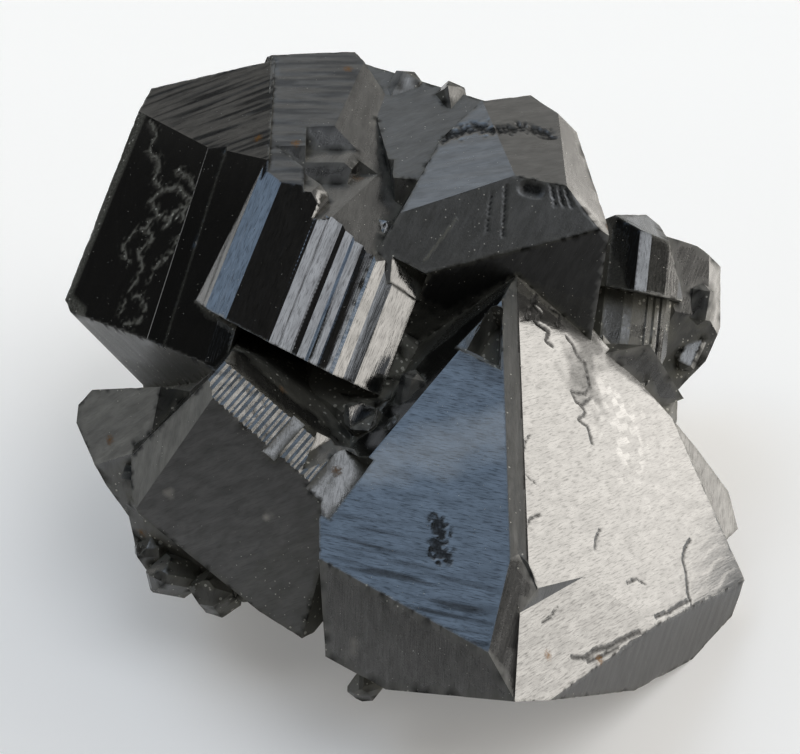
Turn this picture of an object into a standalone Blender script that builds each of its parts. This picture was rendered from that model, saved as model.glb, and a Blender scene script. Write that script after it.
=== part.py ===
"""Cassiterite specimen: black tin-oxide crystals grown together into one loose piece, about 40 mm wide.

Each crystal is a block cut back by its flat faces. A face is given by the way that it looks and by its
distance from the middle of its crystal. Sizes are in millimetres until the last step, +Z is up and
the side that the photo shows is -Y.
"""

import math

import bmesh
import bpy
from mathutils import Matrix, Vector

AXIAL_RATIO = 0.6726  # cassiterite: length of the c axis over the a axes
BLOCK = 70.0  # rough block that every crystal is cut from
REST = -13.6  # height of the ground flat that the specimen rests on
RIDGE = 0.34  # height of the ridges on the striped belt of the lower left crystal

for old in list(bpy.data.objects):
    bpy.data.objects.remove(old)

collection = bpy.data.collections.new("cassiterite_specimen")
bpy.context.scene.collection.children.link(collection)


def facing(heading, slope):
    """The direction with this compass heading, counted from +X towards +Y, and this slope above the level."""
    turn, rise = math.radians(heading), math.radians(slope)
    return Vector((math.cos(turn) * math.cos(rise), math.sin(turn) * math.cos(rise), math.sin(rise)))


def lattice(c_axis, a_axis):
    """The crystal's axes a, b and c as the columns of a matrix, from the lie of its c and a axes."""
    c = facing(*c_axis)
    a = facing(*a_axis)
    a = (a - c * a.dot(c)).normalized()
    return Matrix((a, c.cross(a), c)).transposed()


def miller(axes, h, k, l):
    """The outward direction of the crystal face (h k l)."""
    return (axes @ Vector((h, k, l / AXIAL_RATIO))).normalized()


def around(c_axis, turn):
    """The outward direction of a prism face, turned about the c axis from the side nearest the front."""
    c = facing(*c_axis)
    front = facing(270, 38)
    front = (front - c * front.dot(c)).normalized()
    right = c.cross(front)
    right = right if right.x > 0 else -right
    return front * math.cos(math.radians(turn)) + right * math.sin(math.radians(turn))


def cut(shape, point, outward):
    """Cuts everything beyond the plane away and closes the cut with a flat face."""
    result = bmesh.ops.bisect_plane(
        shape,
        geom=shape.verts[:] + shape.edges[:] + shape.faces[:],
        dist=1e-5,
        plane_co=point,
        plane_no=outward,
        clear_outer=True,
    )
    edges = [item for item in result["geom_cut"] if isinstance(item, bmesh.types.BMEdge)]
    if edges:
        bmesh.ops.edgeloop_fill(shape, edges=edges)


def finish(name, shape):
    """Turns the bmesh into a mesh object with its faces looking outward."""
    bmesh.ops.dissolve_degenerate(shape, dist=1e-4, edges=shape.edges[:])
    bmesh.ops.recalc_face_normals(shape, faces=shape.faces[:])
    mesh = bpy.data.meshes.new(name)
    shape.to_mesh(mesh)
    shape.free()
    obj = bpy.data.objects.new(name, mesh)
    collection.objects.link(obj)
    return obj


def crystal(name, middle, faces):
    """A block cut by faces, each one (outward direction or (heading, slope), distance from the middle)."""
    middle = Vector(middle)
    shape = bmesh.new()
    bmesh.ops.create_cube(shape, size=BLOCK, matrix=Matrix.Translation(middle))
    for outward, reach in faces:
        outward = outward if isinstance(outward, Vector) else facing(*outward)
        cut(shape, middle + outward * reach, outward)
    return finish(name, shape)


def habit(name, middle, c_axis, a_axis, prism, pyramid, uneven=0.0, bottom=None):
    """A whole crystal of the usual cassiterite habit: four-sided prism, bevelled edges, pyramids on both ends."""
    axes = lattice(c_axis, a_axis)
    forms = [((1, 1, 0), prism), ((1, 0, 0), prism * 1.16), ((1, 1, 1), pyramid), ((1, 0, 1), pyramid * 1.05)]
    faces = []
    for (h, k, l), reach in forms:
        for quarter in range(4):
            for end in ((1, -1) if l else (1,)):
                x, y = ((h, k), (-k, h), (-h, -k), (k, -h))[quarter]
                wave = 1 + uneven * math.sin(2.1 * quarter + 1.7 * end + 3.3 * h + 0.7 * middle[0])
                faces.append((miller(axes, x, y, l * end), reach * wave))
    if bottom is not None:
        faces.append((Vector((0, 0, -1)), middle[2] - bottom))
    return crystal(name, middle, faces)


crystals = []
cutters = []

# front crystal: a steep pyramid whose two big faces carry the bright and the blue sheen
FRONT_MIDDLE = (8.0, -5.5, -2.0)
front_axes = lattice(c_axis=(49, 66), a_axis=(281, 16))
front = crystal(
    "front_pyramid",
    FRONT_MIDDLE,
    [
        (miller(front_axes, 1, 1, 1), 3.2),  # bright face on the right
        (miller(front_axes, 1, 0, 1), 5.5),  # narrow strip down the middle, between the two big faces
        (miller(front_axes, 1, -1, 1), 6.9),  # blue face on the left
        (miller(front_axes, 0, 1, 1), 7.0),  # hidden back of the pyramid
        (miller(front_axes, 1, 1, 0), 10.0),  # prism faces under the bright face, under the blue one and behind
        (miller(front_axes, 1, -1, 0), 14.8),
        (miller(front_axes, -1, 1, 0), 10.9),
        ((166, 51), 8.5),  # slope of the blue side towards the cleft
        ((180, -4), 12.1),  # ends at the left and at the back
        ((84, 6), 9.8),
        ((233, -48), 13.5),  # broken underside, which leans in towards the ground
        ((288, -52), 13.2),
        ((266, -48), 12.4),
        ((0, -90), FRONT_MIDDLE[2] - REST),  # on the ground
    ],
)
crystals.append(front)
# notch broken into the pyramid's foot, the shallow step in the bright face and the dull tip of the blue one
# (a face at a distance below zero looks back across the middle of its crystal)
cutters.append(crystal("foot_notch", (9.0, -22.0, -4.0), [((137, -55), -1.1), ((76, -46), -0.7)]))
cutters.append(
    crystal("bright_step", FRONT_MIDDLE, [((156, -37), -4.4), ((146, -12), -6.6)])
)
cutters.append(
    crystal("dull_tip", FRONT_MIDDLE, [((62, -63.7), -6.1), ((230, -41), -3.3), ((0, 8), -1.6), ((166, 51), 9.5)])
)
# deep dark pit near the tip of the blue face, and the narrow ledge along its lower side
cutters.append(
    crystal(
        "tip_pit",
        (4.7, -3.5, 5.3),
        [((144, -14), 0.9), ((231, -34), 0.85), ((357, -5), 0.9), ((59, 6), 2.3), ((90, -62), 1.7)],
    )
)
cutters.append(
    crystal(
        "pit_ledge",
        (4.7, -3.5, 5.3),
        [((144, -14), 0.95), ((231, -8), 1.15), ((357, -5), 0.95), ((59, 6), 1.0), ((70, -72), 0.35)],
    )
)


def striped(name, middle, c_axis, start, walk, rest, faces, half_length=22.0):
    """A crystal whose prism faces are stripes: its outline is walked across the c axis, then ends are cut.

    start is (right, front) from the middle, walk goes leftward in (turn, width) steps, rest are the far corners.
    """
    c, front, right = facing(*c_axis), around(c_axis, 0), around(c_axis, 90)
    outline = [Vector(start)]
    for turn, width in walk:
        angle = math.radians(turn)
        outline.append(outline[-1] + Vector((-math.cos(angle), math.sin(angle))) * width)
    outline += [Vector(corner) for corner in rest]
    shape = bmesh.new()
    middle = Vector(middle)
    base = middle - c * half_length
    corners = [shape.verts.new(base + right * point[0] + front * point[1]) for point in outline]
    end = shape.faces.new(corners)
    grown = bmesh.ops.extrude_face_region(shape, geom=[end])
    moved = [item for item in grown["geom"] if isinstance(item, bmesh.types.BMVert)]
    bmesh.ops.translate(shape, verts=moved, vec=c * (2 * half_length))
    bmesh.ops.recalc_face_normals(shape, faces=shape.faces[:])
    for outward, reach in faces:
        outward = outward if isinstance(outward, Vector) else facing(*outward)
        cut(shape, middle + outward * reach, outward)
    return finish(name, shape)


# belt crystal, upper middle: prism faces striped along the c axis, which leans back and to the right
BELT_MIDDLE = (-4.5, 14.0, 1.0)
BELT_C = (67, 31)
# from right to left: the bright stripe and its dark groove, the low ridges, the wide brown and the white stripe
BELT_STRIPES = [
    (31, 1.82), (12, 0.69), (31, 0.72), (-25, 0.25),
    (14, 0.5), (-16, 0.3), (10, 0.55), (-20, 0.2), (6, 0.5), (-14, 0.3), (12, 0.25), (3, 0.55), (-4, 0.12),
    (6, 0.5), (-14, 0.2), (20, 0.15), (-12, 2.43), (-28, 1.56), (-62, 6.0),
]
crystals.append(
    striped(
        "belt",
        BELT_MIDDLE,
        BELT_C,
        (6.83, 12.1),
        BELT_STRIPES,
        [(-6.8, -6.0), (7.5, -6.0)],
        [
            ((180, 0), 8.0),  # where it meets the mirror crystal
            ((228, -48), 6.8),  # lower end of the stripes
            ((330, 61), 10.5),  # bevel over the stripes' upper end
            ((264, 82), 10.9),  # nearly level top
            ((99, 6), 6.8),  # back and its bevel
            ((94, 51), 10.1),
            ((28, 12), 4.9),  # right side, mostly inside the next crystal
        ],
    )
)

# worn stairs in its top: a riser, a ledge, a second riser and a floor that runs out at the striped faces
cutters.append(
    crystal("upper_stair", (-4.0, 7.0, 10.4), [((0, -90), 0.0), ((90, -50), 0.7), ((180, 0), 1.45), ((0, -20), 1.8)])
)
cutters.append(
    crystal("lower_stair", (-4.0, 4.0, 9.5), [((0, -90), 0.0), ((90, -46), 1.3), ((220, -5), 0.0), ((0, -20), 1.8)])
)
cutters.append(
    crystal("stair_floor", (-4.0, 4.0, 9.5), [((0, -90), 0.0), ((153, -5), 0.0), ((90, -35), 2.4), ((0, -20), 3.2)])
)

# its left part: the wide black mirror face, with two low steps beside it
MIRROR_MIDDLE = (-14.0, 8.5, 1.0)
crystals.append(
    striped(
        "mirror",
        MIRROR_MIDDLE,
        (72, 33),
        (5.6, 10.5),
        [(-15, 1.2), (-42, 3.63), (-80, 0.15), (-36, 1.35), (-60, 0.1), (-45.5, 11.0), (-100, 5.0)],
        [(-7.0, -9.0), (5.6, -9.0)],
        [
            ((162, 7), 5.2),  # left side
            ((193, 64), 6.6),  # striated top
            ((228, -19), 5.9),  # grey end face under the mirror, in two parts
            ((199, -40), 5.1),
            ((99, 6), 10.8),  # back and its bevel
            ((0, 0), 6.5),
            ((98, 46), 12.2),
            ((0, -90), 9.0),
        ],
    )
)

# lower left crystal: two big dull pyramid faces with a narrow ridged belt between them
LEFT_MIDDLE = (-9.0, -3.5, -4.0)
LEFT_C = (231, -18)
left_axes = lattice(c_axis=LEFT_C, a_axis=(317, 12))
ridges = []
for number in range(29):
    pitch = RIDGE * (1 + 0.25 * math.sin(1.9 * number))
    ridges += [(26, pitch * 0.55), (-26, pitch * 0.55)]
crystals.append(
    striped(
        "left",
        LEFT_MIDDLE,
        LEFT_C,
        (5.4, 9.1),
        ridges,
        [(-5.2, 3.0), (-9.0, -9.0), (9.0, -9.0), (9.0, 3.0)],
        [
            (miller(left_axes, 1, 1, 1), 7.2),  # big dark face in front
            (miller(left_axes, 1, 1, -1), 6.9),  # dusty face towards the cleft
            ((223, 31), 7.8),  # pale face on the left
            ((146, 34), 8.1),  # bevels towards the belt crystal
            ((45, 55), 7.1),
            ((182, 0), 6.1),  # left end, in three broken parts
            ((193, -16), 6.0),
            ((213, -42), 4.7),
            ((283, -58), 8.8),  # underside
            ((224, -43), 5.8),
            ((9, -7), 5.7),  # right side, where it meets the front crystal
            ((90, 0), 7.5),
            ((0, -90), 5.0),
        ],
    )
)

# the brightest stripe runs on a little way in front of the upper right crystal
cutters.append(
    crystal(
        "stripe_end",
        (1.54, 1.47, 6.16),
        [(-around(BELT_C, 31), 0.0), ((347, -16), 0.0), ((50, 44), 0.0), ((167, 16), 2.6), ((0, -90), 4.5)],
    )
)

# gap in the ridged belt and the lower ground beyond its right end
left_c, left_up, left_right = facing(*LEFT_C), around(LEFT_C, 0), around(LEFT_C, 90)
for name, along, sides in (("belt_gap", 0.75, (0.4, 0.4)), ("belt_end", 6.0, (3.0, 2.6))):
    spot = Vector(LEFT_MIDDLE) + left_up * 9.2 + left_right * along
    cutters.append(
        crystal(
            name,
            spot,
            [(left_right, sides[0]), (-left_right, sides[1]), (-left_up, 0.4), (left_up, 1.2), (-left_c, 1.6),
             (left_c, 2.6)],
        )
    )

# upper right crystal with a level grey top and a steep brown front
crystals.append(
    crystal(
        "upper_right",
        (5.5, 9.0, -1.0),
        [
            ((266, 46), 12.1),  # brown front
            ((210, 75), 12.2),  # grey top, left part
            ((333, 83), 12.5),  # grey top, right part
            ((357, 49), 11.7),  # pale bevel on the right
            ((9, 6), 6.2),  # right side, and the same side further down
            ((0, -5), 5.4),
            ((278, 1), 8.2),  # black face under the brow, and the small bevel above it
            ((274, 19), 10.7),
            ((164, 28), 8.1),  # left side and its bevels, towards the low ground
            ((146, 27), 7.5),
            ((180, 0), 7.5),
            ((106, 48), 11.1),  # back
            ((39, 29), 9.5),
            ((84, 6), 7.9),
            ((0, -90), 8.0),
        ],
    )
)
# low dusty ground between the two upper crystals
crystals.append(
    crystal("saddle", (0.0, 15.0, -2.0),
            # nearly level top, slope at the back, then the sides, which lie inside the other crystals
            [((252, 81), 13.2), ((60, 37), 8.1), ((191, 0), 2.1), ((259, 16), 12.0), ((0, 0), 6.0), ((0, -90), 3.0),
             ((90, 0), 5.0), ((180, 0), 5.0)])
)
# right-hand crystals behind the front pyramid: the upper one and a step of it further down share their c axis
RIGHT_C = (81, 32)
crystals.append(
    striped(
        "right_upper",
        (14.0, 11.0, 1.0),
        RIGHT_C,
        (3.4, 2.4),
        [(60, 0.9), (26, 0.9), (22, 1.25), (8, 0.75), (-16, 1.7), (-50, 3.0)],
        [(-4.5, -4.0), (3.4, -4.0)],
        # four bevels of the upper end, the right side and the lower end, then the hidden sides
        [((205, 52), 3.7), ((38, 59), 2.4), ((117, 42), 2.1), ((27, 27), 2.7), ((7, 12), 2.4), ((253, -51), 2.4),
         ((90, 0), 3.0), ((180, 0), 4.0)],
        9.0,
    )
)
crystals.append(
    striped(
        "right_lower",
        (14.0, 11.0, 1.0),
        RIGHT_C,
        (2.9, 1.2),
        [(62, 0.8), (24, 0.3), (-10, 0.15), (28, 0.3), (-12, 0.15), (25, 0.35), (-8, 0.12), (21, 0.9), (8, 0.55),
         (-6, 1.2), (-50, 2.0)],
        [(-5.5, -6.0), (2.9, -6.0)],
        # upper end, bevel and right side, then the hidden sides and the underside
        [((82, 66), -1.1), ((329, 33), 3.3), ((6, 1), 3.3), ((90, 0), 6.0), ((180, 0), 5.0), ((0, -90), 4.2),
         ((336, -42), 5.3)],
        14.0,
    )
)
crystals.append(
    crystal(
        "far_right",
        (16.5, 11.0, -5.0),
        # four dusty faces towards the front, the right side, two bevels behind, two under it, then the hidden sides
        [((300, 40), 5.0), ((262, 30), 4.9), ((288, 16), 4.3), ((325, 28), 4.8), ((358, 0), 3.4), ((77, 39), 4.5),
         ((49, 34), 4.7), ((348, -19), 2.8), ((339, -40), 2.4), ((90, 0), 5.0), ((180, 0), 3.5), ((0, -90), 3.0)],
    )
)
crystals.append(
    crystal(
        "right_foot",
        (16.5, 0.5, -9.0),
        # pale slope, right side and bevels of the dark rim beside the bright face, then underside and hidden sides
        [((321, 39), 1.9), ((11, 8), 3.4), ((38, 26), 2.6), ((31, 26), 2.6), ((355, -15), 6.1), ((327, -54), 9.5),
         ((90, 0), 8.5), ((180, 0), 4.5), ((0, -90), 2.0)],
    )
)
# far left block and the glassy lump under it
crystals.append(
    crystal(
        "far_left",
        (-14.0, -1.5, -5.5),
        # pale front, its right bevel, lower front, three sides behind, two faces under it, then the hidden sides
        [((228, 29), 5.2), ((299, 19), 5.0), ((247, 3), 4.2), ((84, 42), 3.5), ((178, 7), 5.1), ((144, 33), 5.6),
         ((196, -21), 3.0), ((197, -28), 2.7), ((90, 0), 6.5), ((0, 0), 5.0), ((0, -90), 1.5)],
    )
)
crystals.append(
    crystal(
        "left_lump",
        (-11.5, -5.5, -6.0),
        # glassy front, left side, three faces under it, then the hidden sides and top
        [((250, 3), 3.2), ((181, -6), 3.7), ((223, -46), 5.1), ((288, -56), 4.9), ((203, -26), 3.9), ((90, 0), 5.5),
         ((0, 0), 4.5), ((90, 73), 3.7), ((0, -90), 2.5)],
    )
)
# small crystals in the cleft between the three big ones
crystals.append(
    crystal(
        "cleft",
        (1.0, -2.0, -1.5),
        # three faces towards the front, the top, the lower front, then the hidden sides
        [((275, 34), 4.6), ((222, 38), 5.6), ((298, 15), 2.4), ((90, 76), 2.8), ((270, -15), 4.7), ((90, 0), 5.0),
         ((0, -90), 2.5), ((180, 0), 7.0)],
    )
)
# body of the cluster, its hidden back and its foot
crystals.append(habit("core", (-0.5, 2.0, -5.5), (80, 14), (352, 6), 8.0, 9.0, 0.06, REST))
crystals.append(habit("back_left", (-9.0, 13.0, -4.0), (110, 24), (22, 10), 5.0, 6.2, 0.1))
crystals.append(habit("back_middle", (1.5, 14.5, -5.0), (84, 8), (350, 30), 4.4, 5.6, 0.1))
crystals.append(habit("back_right", (9.5, 9.5, -9.0), (60, -14), (330, 20), 4.2, 5.2, 0.1, REST))
crystals.append(habit("foot_left", (-6.5, 5.0, -9.6), (190, 12), (100, 4), 4.0, 5.2, 0.1, REST))

# small crystals grown on the big ones: (name, middle, lie of the c axis, lie of the a axis, half width, half length)
SMALL = [
    # in the cleft beside the front pyramid
    ("cleft_a", (-1.9, -5.8, 1.3), (240, 62), (300, 10), 0.9, 1.3),
    ("cleft_b", (-0.3, -7.4, 2.0), (310, 50), (200, 10), 0.7, 1.0),
    ("cleft_c", (-3.0, -8.9, 0.9), (200, 70), (280, 20), 0.8, 1.1),
    ("cleft_d", (0.6, -5.2, 2.8), (70, 50), (340, 10), 0.7, 1.2),
    # glassy ones under the lower left crystal
    ("lump_a", (-12.7, -9.0, -7.2), (200, 30), (290, 20), 1.0, 1.5),
    ("lump_b", (-10.4, -9.6, -8.0), (250, 60), (340, 10), 1.1, 1.5),
    ("lump_c", (-13.9, -7.4, -6.7), (222, 20), (310, 30), 1.0, 1.3),
    ("lump_d", (-14.2, -7.0, -3.6), (180, 60), (270, 10), 0.8, 1.1),
    # on the far right block
    ("right_a", (18.4, 9.0, -1.2), (75, 50), (325, 30), 0.9, 1.2),
    ("right_b", (17.9, 7.5, -3.8), (60, 30), (325, 25), 0.8, 1.2),
    ("right_c", (13.2, 4.6, -1.2), (81, 32), (340, 20), 0.7, 1.2),
    # in the notch and below the foot of the front pyramid
    ("foot_a", (7.0, -19.6, -3.4), (290, 30), (200, 10), 0.9, 1.2),
    ("foot_b", (-1.6, -15.6, -9.0), (250, 20), (340, 20), 0.85, 1.2),
    ("foot_c", (9.6, -16.4, -7.4), (320, 10), (230, 20), 0.9, 1.2),
    # along the top behind the belt crystal
    ("top_a", (0.2, 14.2, 10.6), (60, 30), (330, 20), 1.0, 1.4),
    ("top_b", (2.9, 12.9, 10.5), (100, 40), (10, 20), 0.9, 1.2),
    ("top_c", (-0.9, 3.2, 7.6), (67, 31), (340, 10), 0.7, 1.1),
    # over the hidden sides and the back
    ("side_a", (-16.6, 14.5, -2.5), (160, 20), (70, 10), 2.4, 3.2),
    ("side_b", (-13.6, 8.2, -8.0), (186, 34), (96, 12), 1.9, 2.6),
    ("back_a", (-11.5, 18.6, -2.5), (118, 12), (28, 20), 2.6, 3.6),
    ("back_b", (-3.2, 20.0, -1.0), (96, 40), (10, 14), 2.2, 3.0),
    ("back_c", (2.4, 18.2, -5.5), (70, -8), (340, 30), 2.3, 3.2),
    ("back_d", (7.6, 16.2, 0.6), (62, 30), (330, 10), 1.9, 2.8),
    ("back_e", (12.2, 12.6, -4.0), (40, 16), (310, 20), 2.0, 3.0),
    ("side_c", (14.6, 6.6, -8.6), (10, 24), (280, 10), 1.9, 2.6),
    ("back_f", (-7.6, 16.8, -6.4), (100, -16), (20, 40), 2.0, 2.8),
]
for name, middle, c_axis, a_axis, half_width, half_length in SMALL:
    crystals.append(habit(name, middle, c_axis, a_axis, half_width, half_length, 0.12))

# all crystals grown together
whole = crystals[0]
whole.name = "cassiterite_cluster"
for number, other in enumerate(crystals[1:]):
    grow = whole.modifiers.new(f"grow_{number}", "BOOLEAN")
    grow.operation = "UNION"
    grow.solver = "EXACT"
    grow.object = other
for number, cutter in enumerate(cutters):
    carve = whole.modifiers.new(f"carve_{number}", "BOOLEAN")
    carve.operation = "DIFFERENCE"
    carve.solver = "EXACT"
    carve.object = cutter
bpy.context.view_layer.update()
evaluated = whole.evaluated_get(bpy.context.evaluated_depsgraph_get())
joined = bpy.data.meshes.new_from_object(evaluated)
whole.modifiers.clear()
whole.data = joined
for other in crystals[1:] + cutters:
    bpy.data.objects.remove(other)

# ground flat to rest on, then metres, with the middle of the underside at the origin
shape = bmesh.new()
shape.from_mesh(joined)
cut(shape, Vector((0, 0, REST)), Vector((0, 0, -1)))
bmesh.ops.remove_doubles(shape, verts=shape.verts[:], dist=1e-3)
bmesh.ops.dissolve_degenerate(shape, dist=1e-3, edges=shape.edges[:])
bmesh.ops.dissolve_limit(shape, angle_limit=math.radians(0.2), verts=shape.verts[:], edges=shape.edges[:])
bmesh.ops.triangulate(shape, faces=shape.faces[:])
low = Vector([min(v.co[axis] for v in shape.verts) for axis in range(3)])
high = Vector([max(v.co[axis] for v in shape.verts) for axis in range(3)])
origin = Vector(((low.x + high.x) / 2, (low.y + high.y) / 2, low.z))
bmesh.ops.translate(shape, verts=shape.verts[:], vec=-origin)
bmesh.ops.scale(shape, verts=shape.verts[:], vec=(0.001, 0.001, 0.001))
shape.to_mesh(joined)
shape.free()
joined.name = "cassiterite_cluster"

material = bpy.data.materials.new("cassiterite")
material.use_nodes = True
surface = material.node_tree.nodes["Principled BSDF"]
surface.inputs["Base Color"].default_value = (0.012, 0.012, 0.011, 1.0)
surface.inputs["Metallic"].default_value = 0.0
surface.inputs["Roughness"].default_value = 0.16
surface.inputs["IOR"].default_value = 2.05
joined.materials.clear()
joined.materials.append(material)
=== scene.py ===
"""Cassiterite specimen on a pale table, in soft studio light."""

import math

import bmesh
import bpy
import numpy as np
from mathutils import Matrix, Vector, noise
from mathutils.bvhtree import BVHTree
from mathutils.geometry import delaunay_2d_cdt
from mathutils.kdtree import KDTree


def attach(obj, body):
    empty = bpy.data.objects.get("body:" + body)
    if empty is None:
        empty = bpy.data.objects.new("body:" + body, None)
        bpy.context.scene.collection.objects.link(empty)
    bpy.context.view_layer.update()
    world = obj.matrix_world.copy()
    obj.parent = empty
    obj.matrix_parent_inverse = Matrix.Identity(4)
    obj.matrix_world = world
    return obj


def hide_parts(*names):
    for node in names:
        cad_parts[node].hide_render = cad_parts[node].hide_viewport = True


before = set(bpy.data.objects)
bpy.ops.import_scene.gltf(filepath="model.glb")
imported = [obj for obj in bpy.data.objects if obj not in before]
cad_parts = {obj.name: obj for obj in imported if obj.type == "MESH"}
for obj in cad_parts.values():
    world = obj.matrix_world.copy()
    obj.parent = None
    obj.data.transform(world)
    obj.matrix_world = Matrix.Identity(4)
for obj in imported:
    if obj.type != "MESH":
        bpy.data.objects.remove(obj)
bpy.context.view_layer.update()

# The cluster: black tin oxide, grown as stubby crystals through each other and never worked by hand.
# Its flat faces are natural mirrors, so the look comes from what each face reflects and from its
# growth marks. Places given as pairs of whole numbers are pixels of the 800 by 754 picture.

MM = 0.001
CAMERA_RISE = 38.0  # degrees above the level
CAMERA_REACH = 129.2 * MM
CAMERA_AIM = Vector((-0.163, 0.547, 13.6)) * MM  # the spot that the middle of the picture shows
PICTURE_SCALE = 2222.2  # 100 mm lens on a 36 mm sensor, in pixels of an 800 pixel wide picture
PICTURE_MIDDLE = (400, 377)
FAR = 1e9  # more than any distance here


def linear(code):
    """A colour given as an sRGB hex code, as the linear values that the renderer takes."""
    parts = [int(code[at : at + 2], 16) / 255 for at in (0, 2, 4)]
    return tuple(p / 12.92 if p <= 0.04045 else ((p + 0.055) / 1.055) ** 2.4 for p in parts) + (1.0,)


def facing(heading, slope):
    """The direction with this heading, counted from +X towards +Y, and this slope above the level."""
    turn, rise = math.radians(heading), math.radians(slope)
    return Vector((math.cos(turn) * math.cos(rise), math.sin(turn) * math.cos(rise), math.sin(rise)))


def add(tree, kind, settings=None, links=None):
    """Adds a node with its settings, by property or by input name, and the links into its inputs."""
    node = tree.nodes.new(kind)
    for name, value in (settings or {}).items():
        if isinstance(name, int) or name in node.inputs:
            node.inputs[name].default_value = value
        else:
            setattr(node, name, value)
    for name, source in (links or {}).items():
        tree.links.new(source, node.inputs[name])
    return node


def deselect():
    for obj in bpy.context.selected_objects:
        obj.select_set(False)


cad_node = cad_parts["cassiterite_cluster"]
cluster = cad_node.copy()
cluster.data = cad_node.data.copy()
cluster.name = "crystals"
bpy.context.scene.collection.objects.link(cluster)
deselect()
bpy.context.view_layer.objects.active = cluster
cluster.select_set(True)
bpy.ops.object.mode_set(mode="EDIT")
bpy.ops.mesh.select_all(action="SELECT")
bpy.ops.mesh.remove_doubles(threshold=1e-6)
bpy.ops.mesh.dissolve_limited(angle_limit=math.radians(0.3))
bpy.ops.object.mode_set(mode="OBJECT")
mesh = cluster.data

VIEW = facing(270, CAMERA_RISE)
VIEW_UP = facing(90, 90 - CAMERA_RISE)
VIEW_RIGHT = Vector((1, 0, 0))
EYE = CAMERA_AIM + VIEW * CAMERA_REACH


def looks_tilted(degrees, normal):
    """The direction in a face that looks turned by these degrees from the level in the picture."""
    flat = VIEW_RIGHT * math.cos(math.radians(degrees)) + VIEW_UP * math.sin(math.radians(degrees))
    return (flat - VIEW * (normal.dot(flat) / normal.dot(VIEW))).normalized()


def on_face(spot, point, normal):
    """The place on a face's plane that a pixel of the picture shows."""
    right = (spot[0] - PICTURE_MIDDLE[0]) / PICTURE_SCALE
    up = (PICTURE_MIDDLE[1] - spot[1]) / PICTURE_SCALE
    ray = -VIEW + VIEW_RIGHT * right + VIEW_UP * up
    return EYE + ray * ((point - EYE).dot(normal) / ray.dot(normal))


# Kinds of face: which way they face, how wide their net is, and their finish. Growth marks run along
# the crystal's c axis on the prism faces named here, as they look in the picture on the other named
# faces, and along the belt's c axis, as a guess, on the rest.
BELT_C, MIRROR_C, LEFT_C, RIGHT_C = facing(67, 31), facing(72, 33), facing(231, -18), facing(81, 32)
# kind: (c axis, net in mm, roughness, dust, depth of the striae in mm, their pitch in mm)
PRISMS = {
    "belt": (BELT_C, 0.09, 0.09, 0.02, 0.008, 0.3),
    "mirror": (MIRROR_C, 0.13, 0.05, 0.02, 0.0012, 0.9),
    "right": (RIGHT_C, 0.14, 0.10, 0.22, 0.006, 0.4),
    "ridges": (LEFT_C, 0.14, 0.16, 0.05, 0.006, 0.2),
}
# kind: (heading, slope, net, roughness, dust, depth and pitch as above, tilt of the marks in the picture)
FACES = {
    "bright": (345.4, 39.9, 0.11, 0.13, 0.03, 0.0, 0.7, 15),
    "bright_foot": (336, 37, 0.13, 0.12, 0.02, 0.002, 0.5, 20),
    "blue": (237.7, 70.3, 0.13, 0.10, 0.03, 0.0022, 0.6, -10),
    "strip": (319.6, 65, 0.16, 0.34, 0.30, 0.022, 0.3, 88),
    "left_dark": (254, 19.3, 0.32, 0.36, 0.10, 0.004, 0.8, 22),
    "left_pale": (223, 31, 0.25, 0.36, 0.10, 0.004, 0.8, 80),
    "far_left": (228, 29, 0.25, 0.36, 0.12, 0.004, 0.7, 30),
    "brown_front": (266, 46, 0.13, 0.26, 0.28, 0.005, 0.5, 62),
    "grey_top": (210, 75, 0.16, 0.30, 0.12, 0.006, 0.6, 8),
    "grey_top_right": (333, 83, 0.16, 0.30, 0.08, 0.006, 0.6, 8),
    "level_top": (193, 64, 0.15, 0.22, 0.06, 0.045, 0.4, 17),
    "back_top": (264, 82, 0.2, 0.30, 0.12, 0.022, 0.4, 0),
    "saddle_top": (252, 81, 0.25, 0.36, 0.25, 0.012, 0.3, 20),
    "under_brow": (278, 1, 0.32, 0.34, 0.05, 0.010, 0.4, 60),
    "right_foot": (322.9, -1.7, 0.25, 0.30, 0.08, 0.006, 0.6, 75),
}
# every kind's net, roughness, dust, depth and pitch, with None for the faces that are of no named kind
FINISHES = {None: (0.5, 0.24, 0.14, 0.006, 0.5)}
FINISHES.update({name: values[1:] for name, values in PRISMS.items()})
FINISHES.update({name: values[2:7] for name, values in FACES.items()})
# kinds that mirror less than the rest, because their skin is etched or coated
GLEAMS = {"level_top": 0.3, "under_brow": 0.25, "mirror": 0.3, "back_top": 0.8, "right_foot": 0.5}
# kinds whose polish is broken into fine strokes along the growth marks
MARKED = {
    "bright": 1.0,
    "bright_foot": 1.0,
    "blue": 1.0,
    "belt": 0.9,
    "ridges": 0.6,
    "right": 0.8,
    "level_top": 1.0,
}
FAINTLY_MARKED = 0.3
SAME_FACE = 1.6  # degrees that a face may turn from its kind's direction
ALONG_AXIS = 0.02  # sine of the angle that a prism face may lean from its c axis
kinds = list(FINISHES)


def kind_of(normal):
    for name, (heading, slope, *_) in FACES.items():
        if normal.angle(facing(heading, slope)) < math.radians(SAME_FACE):
            return name
    for name, (axis, *_) in PRISMS.items():
        if abs(normal.dot(axis)) < ALONG_AXIS:
            return name
    return None


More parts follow.
